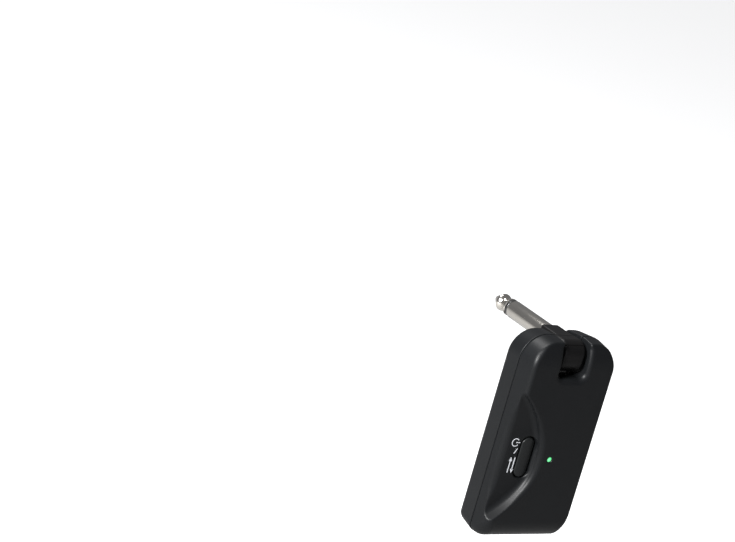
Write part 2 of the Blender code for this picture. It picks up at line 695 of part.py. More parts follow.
def make_arm():
    arm = new_object("plug_arm_block", arm_form(ARM_FRONT + ARM_CAP + GAP, ARM_REAR + 1.0), ARM_PLASTIC,
                     at=in_arm(0, 0, 0), parent=None)
    neck_length = SHOULDER - NECK_START
    neck = rounded_block(NECK_WIDTH, neck_length, 2 * NECK_HALF, 1.0, axis=1)
    neck_keep = new_object("arm_neck", neck, at=in_arm(0, NECK_START + neck_length / 2, PLUG_RISE),
                           parent=None, cutter=True)
    combine(arm, neck_keep, "UNION")
    cavity_front = ARM_FRONT + ARM_CAP - 1.0
    hollow = block(2 * CAVITY_HALF, CAVITY_END - cavity_front, CAVITY_TOP - CAVITY_BOTTOM)
    round_edges(hollow, edges_along(hollow, 0, lambda middle: middle.y < 0 or middle.z < 0), CAVITY_CORNER, 4)
    cavity = new_object("arm_cavity", hollow,
                        at=in_arm(0, (CAVITY_END + cavity_front) / 2, (CAVITY_TOP + CAVITY_BOTTOM) / 2),
                        parent=None, cutter=True)
    pin_hole = new_object("arm_pin_hole", rod(PIN_RADIUS + GAP, 12.0), at=in_arm(0, 0, 0), turn=ALONG_X,
                          parent=None, cutter=True)
    shank_hole = new_object("arm_shank_hole", rod(SHANK_RADIUS + GAP, 12.0), at=in_arm(0, 8.0, PLUG_RISE),
                            turn=ALONG_Y, parent=None, cutter=True)
    for cut in (cavity, pin_hole, shank_hole):
        combine(arm, cut)
    new_object("plug_arm_cap", arm_form(ARM_FRONT - 1.0, ARM_FRONT + ARM_CAP), ARM_PLASTIC,
               at=in_arm(0, 0, 0), parent=None)


def make_plug():
    shank_start = -SHOULDER + 1.9
    sleeve = ((PLUG_RADIUS - 0.2, SLEEVE_END), (PLUG_RADIUS, SLEEVE_END - 0.2), (PLUG_RADIUS, GAP),
              (SHANK_RADIUS, GAP), (SHANK_RADIUS, shank_start), (SHANK_BORE, shank_start),
              (SHANK_BORE, SLEEVE_END))
    turned("plug_sleeve", sleeve, NICKEL, (0, 0, 0), ALONG_Y, parent=None)
    liner_start = shank_start - 0.3
    insulator = ((PLUG_RADIUS - 0.15, RING_END), (PLUG_RADIUS - 0.15, SLEEVE_END + GAP),
                 (SHANK_BORE - GAP, SLEEVE_END + GAP), (SHANK_BORE - GAP, liner_start),
                 (ROD_RADIUS + GAP, liner_start), (ROD_RADIUS + GAP, RING_END))
    turned("plug_insulator", insulator, INSULATOR, (0, 0, 0), ALONG_Y, parent=None)
    tip = ((0, PLUG_LENGTH), (0.9, PLUG_LENGTH - 0.15), (1.3, PLUG_LENGTH - 0.7), (3.0, 27.4),
           (3.1, 26.9), (2.9, 26.4), (2.25, 25.2), (2.3, 24.6), (3.1, 22.6), (3.1, RING_END + GAP),
           (ROD_RADIUS, RING_END + GAP), (ROD_RADIUS, -SHOULDER - 3.2), (0, -SHOULDER - 3.2))
    turned("plug_tip", tip, NICKEL, (0, 0, 0), ALONG_Y, parent=None, closed=False)
    hexagon = rod(NUT_RADIUS, 1.0, 6)
    bmesh.ops.rotate(hexagon, matrix=Matrix.Rotation(math.pi / 6, 3, "Z"), verts=hexagon.verts)
    nut = new_object("plug_nut", hexagon, BRASS,
                     at=in_arm(0, 2.75, PLUG_RISE), turn=ALONG_Y, parent=None)
    nut_hole = new_object("plug_nut_hole", rod(SHANK_RADIUS + GAP, 4.0), at=in_arm(0, 2.75, PLUG_RISE),
                          turn=ALONG_Y, parent=None, cutter=True)
    combine(nut, nut_hole)
    ring("sleeve_lug", SHANK_RADIUS + GAP, 2.4, 0.2, BRASS, in_arm(0, 3.55, PLUG_RISE), ALONG_Y,
         parent=None)
    ring("tip_lug", ROD_RADIUS + GAP, 1.4, 0.5, BRASS, in_arm(0, -2.75, PLUG_RISE), ALONG_Y, parent=None,
         steps=16)


def make_signal_leads():
    """Two leads through the hollow pin; each one is cut on the hinge axis, where it turns."""
    lead("tip_lead_in_arm",
         [in_arm(0.8, -2.75, 0.9), in_arm(0.85, -2.8, 0.4), in_arm(1.05, -1.9, 0.0),
          in_arm(1.2, -1.1, 0.0), in_arm(1.9, -0.3, 0.0), in_arm(3.2, 0.0, 0.0), in_arm(PIN_HALF, 0, 0)],
         WHITE_WIRE, None)
    lead("ground_lead_in_arm",
         [in_arm(-2.2, 3.3, 0.4), in_arm(-2.3, 2.9, -1.3), in_arm(-1.9, 1.0, -2.9),
          in_arm(-1.2, -1.3, -3.1), in_arm(-0.9, -3.0, -2.0), in_arm(-0.85, -3.0, -0.6),
          in_arm(-1.05, -1.9, 0.0), in_arm(-1.2, -1.1, 0.0), in_arm(-1.9, -0.3, 0.0),
          in_arm(-3.2, 0.0, 0.0), in_arm(-PIN_HALF, 0, 0)],
         BLACK_WIRE, None)
    for name, side, paint in (("tip_lead_in_housing", 1, WHITE_WIRE),
                              ("ground_lead_in_housing", -1, BLACK_WIRE)):
        corners = [(PIN_HALF + GAP, HINGE_DEPTH, HINGE_HEIGHT), (12.2, 8.0, 27.6), (12.3, 8.6, 25.2),
                   (10.6, 9.0, 22.0), (8.5, 8.8, 19.4), (7.9, 8.4, 16.6), (7.9, 7.4, 13.6), (7.9, 6.6, 11.4)]
        lead(name, [in_housing(side * x, depth, height) for x, depth, height in corners], paint, HINGE)


def main():
    cuts = shared_cutters()
    make_front_cover(cuts)
    make_rear_cover(cuts)
    make_case_screws()
    make_board()
    make_board_screws()
    make_chips()
    make_shield_can()
    make_usb_socket()
    make_battery()
    make_lamp_pipe()
    make_button()
    make_hinge()
    make_arm()
    make_plug()
    make_signal_leads()


main()
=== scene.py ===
"""The looks of a wireless guitar transmitter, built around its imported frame.

Shapes are fields: functions that are negative inside a solid, in millimetres. A place in
the housing is (x, depth behind the front face, height above a datum TOP below the top); a
place in the arm is (x, y, z) from the hinge axis. A constant that ends in FADE holds the two
values between which something grows from nothing to all of itself.
"""

import json
import math

import bmesh
import bpy
import numpy as np
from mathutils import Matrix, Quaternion, Vector


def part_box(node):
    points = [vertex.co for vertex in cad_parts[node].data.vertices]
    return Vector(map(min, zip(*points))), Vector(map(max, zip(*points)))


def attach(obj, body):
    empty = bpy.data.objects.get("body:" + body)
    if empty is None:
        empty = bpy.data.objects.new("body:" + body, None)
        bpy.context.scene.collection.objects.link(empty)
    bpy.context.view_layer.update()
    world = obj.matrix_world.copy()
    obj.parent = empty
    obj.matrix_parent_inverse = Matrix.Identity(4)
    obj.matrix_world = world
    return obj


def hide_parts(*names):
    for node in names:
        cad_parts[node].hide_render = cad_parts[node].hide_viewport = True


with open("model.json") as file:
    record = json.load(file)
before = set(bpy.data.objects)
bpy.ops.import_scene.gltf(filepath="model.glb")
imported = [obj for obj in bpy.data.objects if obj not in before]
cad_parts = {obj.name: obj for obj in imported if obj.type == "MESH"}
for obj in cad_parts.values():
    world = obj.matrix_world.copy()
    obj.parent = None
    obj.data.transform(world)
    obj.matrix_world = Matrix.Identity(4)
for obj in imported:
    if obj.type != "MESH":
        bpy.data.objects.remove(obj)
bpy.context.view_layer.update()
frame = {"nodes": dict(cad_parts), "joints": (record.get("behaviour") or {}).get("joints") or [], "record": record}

MM = 0.001
GAP = 0.3

# Housing. A rim or chin is how far its rounding reaches in from the outline, then from the face.
FRONT_LOW, FRONT_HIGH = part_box("front_cover")
HALF_WIDTH = 17.75
TOP = 35.0
BOTTOM = -37.0
PARTING = 7.9
BACK = 17.4
TOP_CORNER = 9.0
BOTTOM_CORNER = 3.2
FRONT_DRAFT = (0.8, 0.6)
REAR_DRAFT = (1.1, 1.0)
FRONT_RIM = (1.4, 1.7)
TOP_RIM = (0.45, 0.45)
LOW_RIM = (3.6, 3.6)
LOW_RIM_FADE = (27, 34)
TURN_FADE = (0.55, 0.95)
BROW_START = 25.6
BROW_RADIUS = 40.0
CHIN = (7.4, 6.9)
REAR_RIM = 2.7
WALL = 1.5
SEAM_EDGE = 0.2

# Notch, hinge and plug channel
HINGE_HEIGHT = 28.7
NOTCH_HALF = 5.5
NOTCH_FLOOR = 22.4
NOTCH_CORNER = 2.5
NOTCH_EDGE = 1.5
NOTCH_SILL_EDGE = 2.1
NOTCH_TOP_EDGE = 0.5
NOTCH_TOP_FADE = (32.6, 34.0)
NOTCH_SILL_FADE = (22.5, 25.5)
SWEEP_RADIUS = 6.3
SWEEP_EDGE = 0.3
BORE_RADIUS = 2.8
BORE_HALF = 8.4
CHANNEL_HALF = 4.0
CHANNEL_FLOOR = 6.9
CHANNEL_END = -14.2
CHANNEL_WALL = 1.2
CHANNEL_SKIN = 0.8
CHANNEL_CORNER = 0.6
CHANNEL_FLOOR_EDGE = 0.5
CHANNEL_RIM = 0.4
CHANNEL_OVERRUN = 1.0
TROUGH_DEPTH = 1.5

# Scallop, button, lamp and screws. Up and down from its middle, the scallop's edge has a span
# and the power of its curve.
SCALLOP_MIDDLE = -8.5
SCALLOP_UP = (26.0, 2.1)
SCALLOP_DOWN = (22.0, 2.15)
SCALLOP_REACH = 14.6
SCALLOP_DEPTH = 3.4
SCALLOP_SHALLOWER = 1.2
SHALLOW_FADE = (2, 15)
SCALLOP_RISE = 0.045
SCALLOP_SKIN = 1.0
SCALLOP_FILLET = 1.2
SCALLOP_LEAN = 0.22
SOFT_LEAN = 0.1
LOW_LEAN = 0.35
LOW_LEAN_FADE = (-22, -14)
FACING_FADE = (0.65, 1.0)
SCALLOP_EDGE = 0.35
SOFTER_EDGE = 1.1
FLANK_FADE = (13.0, 16.5)
FLANK_TOP_FADE = (6, 14)
FLANK_LOW_FADE = (-25, -18)
BUTTON_X = -7.55
BUTTON_HEIGHT = -7.2
BUTTON_HALF = (2.55, 7.1)
BUTTON_GAP = 0.5
BUTTON_FACE = 2.75
BUTTON_CROWN = 0.05
BUTTON_EDGE = 0.4
BUTTON_RIM = 0.25
BUTTON_FLANGE = (4.6, 4.85)
FLANGE_HALF = 0.125
FLANGE_REACH = 0.35
POCKET_HALF = (1.7, 2.4)
POCKET_FLOOR = 3.95
BUTTON_COLLAR = 1.0
COLLAR_END = 4.45
LAMP_X = 0.85
LAMP_HEIGHT = -6.6
LAMP_RADIUS = 0.9
LAMP_GAP = 0.12
LENS_END = 0.65
LENS_RIM = 0.35
DOME_RISE = 0.28
LENS_GAP = 0.02
PIPE_END = 4.0
USB_DEPTH = 5.8
USB_HALF = (4.85, 2.0)
USB_END = -33.0
USB_EDGE = 0.3
FRONT_BOSS = 2.2
REAR_BOSS = 2.4
SCREW_HOLE = 1.1
WELL_RADIUS = 1.9
WELL_FLOOR = 12.9
WELL_EDGE = 0.25
SCREWS = [(side * 11.4, height) for height in (16.0, -29.0) for side in (-1, 1)]

# Arm, from the hinge axis
ARM_HALF = 4.5
ARM_DEPTH = (-6.0, 5.0)
ARM_HEIGHT = (-5.4, 5.7)
ARM_CORNER = 4.6
ARM_EDGE = 1.3
ARM_SEAM = -4.35
ARM_SEAM_GAP = 0.1
ARM_SEAM_EDGE = 0.12
ARM_WALL = 0.65
ROOM_HALF = 3.1
ROOM_END = 3.8
PIN_HOLE = 2.15
PLUG_RISE = 2.5
SHANK_HOLE = 2.05
SHANK_START = 3.0
NECK_HALF = (3.7, 3.2)
NECK_CORNER = 1.0
NECK_EDGE = 0.3
NECK_START = 1.4
NECK_FILLET = 0.5
SHOULDER = 10.6
HINGE = Vector(frame["joints"][0]["pos_m"])

# Meshes
CELL = 0.30
ARM_CELL = 0.2
SMALL_CELL = 0.16
AXIS_RADIUS = 0.02
SHARP_ANGLE = math.radians(34)

# Studio. The shares and strengths are for the light on the part, then for what the camera sees.
CAMERA_ANGLES = (-35.2, 16.2, 15.2)
CAMERA_TARGET = (-54.45, 32.9, 5.75)
CAMERA_DISTANCE = 0.6942
CAMERA_LENS = 102.86
KEY_PLACE, KEY_SIZE, KEY_POWER = (-0.42, 0.38, 0.78), 0.26, 34.0
FILL_PLACE, FILL_SIZE, FILL_POWER = (0.2, -0.1, 0.9), 0.6, 0.5
SUN_PLACE, SUN_ANGLE, SUN_STRENGTH = (-0.2, 0.5, 0.85), 25.0, 3.0
FLOOR_HEIGHT = -0.16
FLOOR_COLOUR = (0.86, 0.86, 0.86)
FLOOR_SHARES = (0.35, 1.0)
BACKDROP_COLOUR = (0.95, 0.96, 1.0)
BACKDROP_STRENGTHS = (0.22, 0.85)


# Fields

def round_max(first, second, radius):
    """Where both solids are, with the edge between them rounded."""
    corner = np.hypot(np.maximum(first + radius, 0), np.maximum(second + radius, 0))
    return np.minimum(np.maximum(first, second), -radius) + corner


def round_min(first, second, radius):
    """Both solids together, with a fillet between them."""
    return -round_max(-first, -second, radius)


def carve(body, cut, radius):
    """A solid less another, with the edge between them rounded."""
    return round_max(body, -cut, radius)


def ellipse_max(first, second, first_size, second_size):
    """Where both solids are, with the edge between them an ellipse of those two sizes."""
    across = np.maximum(first + first_size, 0) / first_size
    along = np.maximum(second + second_size, 0) / second_size
    reach = np.hypot(across, along)
    slope = np.hypot(across / first_size, along / second_size)
    rounded = (reach - 1) * reach / np.maximum(slope, 1e-9)
    return np.where(reach > 0.02, rounded, np.maximum(first, second))


def step(value, start, stop):
    """A smooth step from 0 at start to 1 at stop."""
    share = np.clip((value - start) / (stop - start), 0, 1)
    return share * share * (3 - 2 * share)


def rounded_box(across, along, radius):
    """A field in a plane from the signed distances to two pairs of sides."""
    outer = np.hypot(np.maximum(across + radius, 0), np.maximum(along + radius, 0))
    return np.minimum(np.maximum(across, along) + radius, 0) + outer - radius


def front_form(x, depth, height):
    """Front half: tight rims at the flanks, a brow that leans back at the top, a deep chin."""
    share = np.clip((PARTING - depth) / PARTING, 0, 1)
    side = np.abs(x) - (HALF_WIDTH - FRONT_DRAFT[0] * share)
    top = height - (TOP - FRONT_DRAFT[1] * share)
    outline = rounded_box(side, top, TOP_CORNER)
    upward = np.maximum(top + TOP_CORNER, 0)
    turn = upward / np.maximum(np.hypot(upward, np.maximum(side + TOP_CORNER, 0)), 1e-6)
    turn = step(turn, *TURN_FADE) * step(upward, 0, TOP_CORNER / 2)
    brow = np.maximum(height - BROW_START, 0) / BROW_RADIUS
    front = (BROW_RADIUS * brow * brow - depth) / np.sqrt(1 + 4 * brow * brow)
    face = ellipse_max(BOTTOM - height, front, *CHIN)
    rim_side = FRONT_RIM[0] + (TOP_RIM[0] - FRONT_RIM[0]) * turn
    rim_face = FRONT_RIM[1] + (TOP_RIM[1] - FRONT_RIM[1]) * turn
    low = step(-height, *LOW_RIM_FADE)
    rim_side = rim_side + (LOW_RIM[0] - rim_side) * low
    rim_face = rim_face + (LOW_RIM[1] - rim_face) * low
    return ellipse_max(outline, face, rim_side, rim_face)


def rear_form(x, depth, height):
    """Rear half: drafted sides and one even rim round the back."""
    share = np.clip((depth - PARTING) / (BACK - PARTING), 0, 1)
    side = np.abs(x) - (HALF_WIDTH - REAR_DRAFT[0] * share)
    top = height - (TOP - REAR_DRAFT[1] * share)
    bottom = BOTTOM + REAR_DRAFT[1] * share - height
    outline = np.maximum(rounded_box(side, top, TOP_CORNER), rounded_box(side, bottom, BOTTOM_CORNER))
    return round_max(outline, depth - BACK, REAR_RIM)


def notch(x, height):
    """The gap between the ears, open at the top."""
    return rounded_box(np.abs(x) - NOTCH_HALF, NOTCH_FLOOR - height, NOTCH_CORNER)


def hinge_cuts(body, x, depth, height):
    """Room for the arm's swing and bores for the bushes."""
    away = np.hypot(depth - PARTING, height - HINGE_HEIGHT)
    body = carve(body, np.maximum(away - SWEEP_RADIUS, np.abs(x) - NOTCH_HALF), SWEEP_EDGE)
    return np.maximum(body, -np.maximum(away - BORE_RADIUS, np.abs(x) - BORE_HALF))


def channel(x, depth, height, grow, floor):
    """The channel that stows the plug, grown at its sides and end, from a floor to the back."""
    sides = rounded_box(np.abs(x) - CHANNEL_HALF - grow, CHANNEL_END - grow - height, CHANNEL_CORNER)
    room = round_max(sides, floor - depth, CHANNEL_FLOOR_EDGE)
    return np.maximum(room, height - NOTCH_FLOOR - CHANNEL_OVERRUN)


def scallop_edge(height):
    """How far right the scallop reaches at a height, at the front face."""
    away = height - SCALLOP_MIDDLE
    span = np.where(away > 0, SCALLOP_UP[0], SCALLOP_DOWN[0])
    power = np.where(away > 0, SCALLOP_UP[1], SCALLOP_DOWN[1])
    return -HALF_WIDTH + SCALLOP_REACH * (1 - (np.abs(away) / span) ** power)


def scallop(x, depth, height):
    """The thumb scallop, open to the left flank, and how soft its wall is: 1 where it faces right."""
    slope = (scallop_edge(height + 0.05) - scallop_edge(height - 0.05)) / 0.1
    facing = 1 / np.sqrt(1 + slope * slope)
    soft = step(facing, *FACING_FADE)
    lower = 1 - step(height, *LOW_LEAN_FADE)
    lean = SCALLOP_LEAN + SOFT_LEAN * soft + LOW_LEAN * lower
    plan = (x - scallop_edge(height)) * facing
    wall = (plan + lean * depth) / np.sqrt(1 + lean * lean)
    shallower = SCALLOP_SHALLOWER * step(height, *SHALLOW_FADE)
    deepest = SCALLOP_DEPTH - SCALLOP_RISE * (x + HALF_WIDTH) - shallower
    return round_max(wall, depth - deepest, SCALLOP_FILLET), soft


def stadium(x, height, grow):
    """The button's outline in the front plane."""
    beyond = np.maximum(np.abs(height - BUTTON_HEIGHT) - (BUTTON_HALF[1] - BUTTON_HALF[0]), 0)
    return np.hypot(x - BUTTON_X, beyond) - BUTTON_HALF[0] - grow


def usb_slot(x, depth, height):
    beyond = np.maximum(np.abs(x) - (USB_HALF[0] - USB_HALF[1]), 0)
    return np.maximum(np.hypot(beyond, depth - USB_DEPTH) - USB_HALF[1], height - USB_END)


def bosses(x, height, radius):
    """Round posts or holes at the four case screws."""
    return np.minimum.reduce([np.hypot(x - at, height - up) - radius for at, up in SCREWS])


def front_shell(x, depth, height):
    """The front cover: its form, less the openings, the hollow inside and the hinge's room."""
    notch_edge = NOTCH_EDGE + (NOTCH_TOP_EDGE - NOTCH_EDGE) * step(height, *NOTCH_TOP_FADE)
    notch_edge = notch_edge + (NOTCH_SILL_EDGE - NOTCH_EDGE) * (1 - step(height, *NOTCH_SILL_FADE))
    form = carve(front_form(x, depth, height), notch(x, height), notch_edge)
    dish, soft = scallop(x, depth, height)
    flank = step(-x, *FLANK_FADE) * (1 - step(height, *FLANK_TOP_FADE)) * step(height, *FLANK_LOW_FADE)
    edge = SCALLOP_EDGE + SOFTER_EDGE * soft + SOFTER_EDGE * flank
    body = carve(form, dish, edge)
    body = carve(body, stadium(x, height, BUTTON_GAP), BUTTON_RIM)
    lamp_hole = np.hypot(x - LAMP_X, height - LAMP_HEIGHT) - LAMP_RADIUS - LAMP_GAP
    body = carve(body, lamp_hole, LAMP_GAP)
    body = carve(body, usb_slot(x, depth, height), USB_EDGE)
    body = round_max(body, depth - (PARTING - GAP / 2), SEAM_EDGE)
    hollow = np.maximum(form + WALL, SCALLOP_SKIN - dish)
    hollow = np.maximum(hollow, -bosses(x, height, FRONT_BOSS))
    collar = np.maximum(stadium(x, height, BUTTON_GAP + BUTTON_COLLAR), depth - COLLAR_END)
    hollow = np.maximum(hollow, -collar)
    body = np.maximum(body, -hollow)
    body = np.maximum(body, -channel(x, depth, height, 0.0, CHANNEL_FLOOR))
    return hinge_cuts(body, x, depth, height)


def rear_shell(x, depth, height):
    """The rear cover, with a walled trough round the plug's channel and wells for the screws."""
    form = carve(rear_form(x, depth, height), notch(x, height), NOTCH_TOP_EDGE)
    body = round_max(form, PARTING + GAP / 2 - depth, SEAM_EDGE)
    keep = channel(x, depth, height, CHANNEL_WALL, CHANNEL_FLOOR - CHANNEL_SKIN)
    hollow = np.maximum(form + WALL, -keep)
    hollow = np.maximum(hollow, -bosses(x, height, REAR_BOSS))
    body = np.maximum(body, -hollow)
    trough_end = height - (NOTCH_FLOOR - WALL - GAP)
    trough = np.maximum(keep, np.maximum(depth - PARTING - TROUGH_DEPTH, trough_end))
    body = np.minimum(body, trough)
    body = carve(body, channel(x, depth, height, 0.0, CHANNEL_FLOOR), CHANNEL_RIM)
    body = carve(body, usb_slot(x, depth, height), USB_EDGE)
    body = np.maximum(body, -bosses(x, height, SCREW_HOLE))
    wells = np.maximum(bosses(x, height, WELL_RADIUS), WELL_FLOOR - depth)
    body = carve(body, wells, WELL_EDGE)
    return hinge_cuts(body, x, depth, height)


def button_form(x, depth, height):
    """A crowned oval cap, a flange that keeps it in, and a pocket for the switch behind it."""
    outline = stadium(x, height, 0.0)
    crown = BUTTON_FACE + BUTTON_CROWN * (x - BUTTON_X) ** 2
    cap = round_max(round_max(outline, crown - depth, BUTTON_EDGE), depth - BUTTON_FLANGE[1], 0.1)
    middle = sum(BUTTON_FLANGE) / 2
    flange = np.maximum(outline - BUTTON_GAP - FLANGE_REACH, np.abs(depth - middle) - FLANGE_HALF)
    pocket = np.maximum(np.abs(x - BUTTON_X) - POCKET_HALF[0],
                        np.abs(height - BUTTON_HEIGHT) - POCKET_HALF[1])
    pocket = np.maximum(pocket, POCKET_FLOOR - depth)
    return np.maximum(np.minimum(cap, flange), -pocket)


def arm_profile(y, z):
    """The arm's rounded outline seen along the hinge axis."""
    low, high = ARM_DEPTH
    down, up = ARM_HEIGHT
    along = np.abs(y - (low + high) / 2) - (high - low) / 2
    across = np.abs(z - (down + up) / 2) - (up - down) / 2
    return rounded_box(along, across, ARM_CORNER)


def arm_whole(x, y, z):
    barrel = round_max(arm_profile(y, z), np.abs(x) - ARM_HALF, ARM_EDGE)
    section = rounded_box(np.abs(x) - NECK_HALF[0], np.abs(z - PLUG_RISE) - NECK_HALF[1], NECK_CORNER)
    neck = round_max(round_max(section, y - SHOULDER, NECK_EDGE), NECK_START - y, NECK_EDGE)
    return round_min(barrel, neck, NECK_FILLET)


def arm_hollow(x, y, z):
    """Room for the nut and the lugs, and the holes for the hinge pin and the plug."""
    room = np.maximum(np.maximum(arm_profile(y, z) + ARM_WALL, np.abs(x) - ROOM_HALF), y - ROOM_END)
    pin = np.hypot(y, z) - PIN_HOLE
    shank = np.maximum(np.hypot(x, z - PLUG_RISE) - SHANK_HOLE, SHANK_START - y)
    return np.minimum(np.minimum(room, pin), shank)


def arm_body(x, y, z):
    body = round_max(arm_whole(x, y, z), ARM_SEAM + ARM_SEAM_GAP - y, ARM_SEAM_EDGE)
    return np.maximum(body, -arm_hollow(x, y, z))


def arm_cap(x, y, z):
    return round_max(arm_whole(x, y, z), y - (ARM_SEAM - ARM_SEAM_GAP), ARM_SEAM_EDGE)


# Meshes from fields

def nets(values):
    """Surface nets: a point in each crossed cell, and a quad round each crossed grid edge."""
    inside = values < 0
    size = np.array(values.shape) - 1
    count = np.zeros(size, int)
    for i in (0, 1):
        for j in (0, 1):
            for k in (0, 1):
                count += inside[i:size[0] + i, j:size[1] + j, k:size[2] + k]
    crossed = (count > 0) & (count < 8)
    cells = np.argwhere(crossed)
    number = np.full(size, -1)
    number[crossed] = np.arange(len(cells))
    total = np.zeros((len(cells), 3))
    hits = np.zeros(len(cells))
    units = np.eye(3, dtype=int)
    for axis in range(3):
        for i in (0, 1):
            for j in (0, 1):
                start = i * units[(axis + 1) % 3] + j * units[(axis + 2) % 3]
                first = values[tuple((cells + start).T)]
                second = values[tuple((cells + start + units[axis]).T)]
                hit = (first < 0) != (second < 0)
                share = first[hit] / (first[hit] - second[hit])
                total[hit] += start + share[:, None] * units[axis]
                hits[hit] += 1
    points = cells + total / hits[:, None]
    quads = []
    for axis in range(3):
        u, v = units[(axis + 1) % 3], units[(axis + 2) % 3]
        first = inside[tuple(slice(None, -1) if a == axis else slice(None) for a in range(3))]
        second = inside[tuple(slice(1, None) if a == axis else slice(None) for a in range(3))]
        edges = np.argwhere(first != second)
        outward = first[tuple(edges.T)]
        ring = [number[tuple((edges - shift).T)] for shift in (u + v, v, np.zeros(3, int), u)]
        ring = np.column_stack(ring)
        ring[~outward] = ring[~outward][:, ::-1]
        quads.append(ring)
    return points, np.concatenate(quads)


def settle(points, quads, field, cell, rounds=3):
    """Evens the net out and moves its points onto the surface."""
    pairs = np.concatenate([quads[:, [a, (a + 1) % 4]] for a in range(4)])
    degree = np.bincount(pairs.ravel(), minlength=len(points))[:, None]
    tiny = 0.01
    flattest = 0.05
    longest = 0.4 * cell
    for turn in range(rounds):
        if turn:
            total = np.column_stack([
                np.bincount(pairs[:, 0], points[pairs[:, 1], axis], len(points))
                + np.bincount(pairs[:, 1], points[pairs[:, 0], axis], len(points)) for axis in range(3)])
            points = points * 0.5 + 0.5 * total / degree
        for _ in range(3):
            value = field(*points.T)
            slope = np.column_stack([
                (field(*(points + shift).T) - field(*(points - shift).T)) / (2 * tiny)
                for shift in tiny * np.eye(3)])
            move = value[:, None] * slope / np.maximum((slope * slope).sum(1), flattest)[:, None]
            length = np.linalg.norm(move, axis=1)[:, None]
            points = points - move * np.minimum(1, longest / np.maximum(length, 1e-9))
    return points


def in_housing(points):
    return (np.asarray(points) - (0, 0, TOP)) * MM + (0, FRONT_LOW.y, FRONT_HIGH.z)


def in_arm(points):
    return np.asarray(points) * MM + np.array(HINGE)


def in_scene(name, data):
    """A new object for a mesh, light or camera."""
    obj = bpy.data.objects.new(name, data)
    bpy.context.scene.collection.objects.link(obj)
    return obj


def as_mesh(name, form):
    """A mesh from a bmesh, which is used up."""
    mesh = bpy.data.meshes.new(name)
    form.to_mesh(mesh)
    form.free()
    return mesh


def solid(name, field, low, high, cell, stand):
    """A mesh of the field's surface inside a box."""
    axes = [np.arange(start, stop + cell, cell) for start, stop in zip(low, high)]
    grid = np.meshgrid(*axes, indexing="ij")
    points, quads = nets(field(*grid))
    points = np.array(low) + points * cell
    points = settle(points, quads, field, cell)
    mesh = bpy.data.meshes.new(name)
    mesh.from_pydata(stand(points).tolist(), [], quads.tolist())
    mesh.validate()
    mesh.shade_smooth()
    return in_scene(name, mesh)


def lathe(name, profile, stand, sides=96):
    """Turns a profile of (radius, distance along +Y) about the Y axis."""
    points = []
    faces = []
    for radius, along in profile:
        for side in range(sides):
            angle = 2 * math.pi * side / sides
            points.append((radius * math.sin(angle), along, radius * math.cos(angle)))
    rows = len(profile)
    for row in range(rows - 1):
        for side in range(sides):
            after = (side + 1) % sides
            faces.append((row * sides + side, row * sides + after,
                          (row + 1) * sides + after, (row + 1) * sides + side))
    if profile[0] == profile[-1]:
        points = points[:-sides]
        faces = [tuple(index % len(points) for index in face) for face in faces]
    else:
        faces.append(tuple(range(sides))[::-1])
        faces.append(tuple(range((rows - 1) * sides, rows * sides)))
    form = bmesh.new()
    verts = [form.verts.new(point) for point in points]
    for face in faces:
        form.faces.new([verts[index] for index in face])
    bmesh.ops.recalc_face_normals(form, faces=form.faces)
    mesh = as_mesh(name, form)
    mesh.vertices.foreach_set("co", stand(np.array(points)).ravel())
    mesh.shade_smooth()
    mesh.set_sharp_from_angle(angle=SHARP_ANGLE)
    return in_scene(name, mesh)


# Materials

def new_material(name, colour, roughness, metallic=0.0):
    made = bpy.data.materials.new(name)
    made.use_nodes = True
    shader = made.node_tree.nodes["Principled BSDF"]
    shader.inputs["Base Color"].default_value = (*colour, 1.0)
    shader.inputs["Roughness"].default_value = roughness
    shader.inputs["Metallic"].default_value = metallic
    return made, made.node_tree, shader


def noise(tree, size, detail=3.0, stretch=(1, 1, 1)):
    """Noise whose grain is about size millimetres across, in object coordinates."""
    coords = tree.nodes.new("ShaderNodeTexCoord")
    mapping = tree.nodes.new("ShaderNodeMapping")
    mapping.inputs["Scale"].default_value = stretch
    texture = tree.nodes.new("ShaderNodeTexNoise")
    texture.inputs["Scale"].default_value = 1 / (size * MM)
    texture.inputs["Detail"].default_value = detail
    tree.links.new(coords.outputs["Object"], mapping.inputs["Vector"])
    tree.links.new(mapping.outputs["Vector"], texture.inputs["Vector"])
    return texture.outputs["Fac"]


def spread(tree, source, low, high):
    """Stretches a noise's usual range to a range from low to high."""
    ramp = tree.nodes.new("ShaderNodeMapRange")
    ramp.inputs["From Min"].default_value = 0.3
    ramp.inputs["From Max"].default_value = 0.7
    ramp.inputs["To Min"].default_value = low
    ramp.inputs["To Max"].default_value = high
    tree.links.new(source, ramp.inputs["Value"])
    return ramp.outputs["Result"]


def tint(tree, shader, source, colour, low, high):
    """Varies the base colour between two shares of itself.

    A Mix node's two colours are its inputs 6 and 7, and its colour result is output 2.
    """
    mix = tree.nodes.new("ShaderNodeMix")
    mix.data_type = "RGBA"
    mix.inputs[6].default_value = (*[low * part for part in colour], 1.0)
    mix.inputs[7].default_value = (*[high * part for part in colour], 1.0)
    tree.links.new(source, mix.inputs[0])
    tree.links.new(mix.outputs[2], shader.inputs["Base Color"])


def bump(tree, shader, source, height, strength):
    node = tree.nodes.new("ShaderNodeBump")
    node.inputs["Distance"].default_value = height * MM
    node.inputs["Strength"].default_value = strength
    tree.links.new(source, node.inputs["Height"])
    tree.links.new(node.outputs["Normal"], shader.inputs["Normal"])


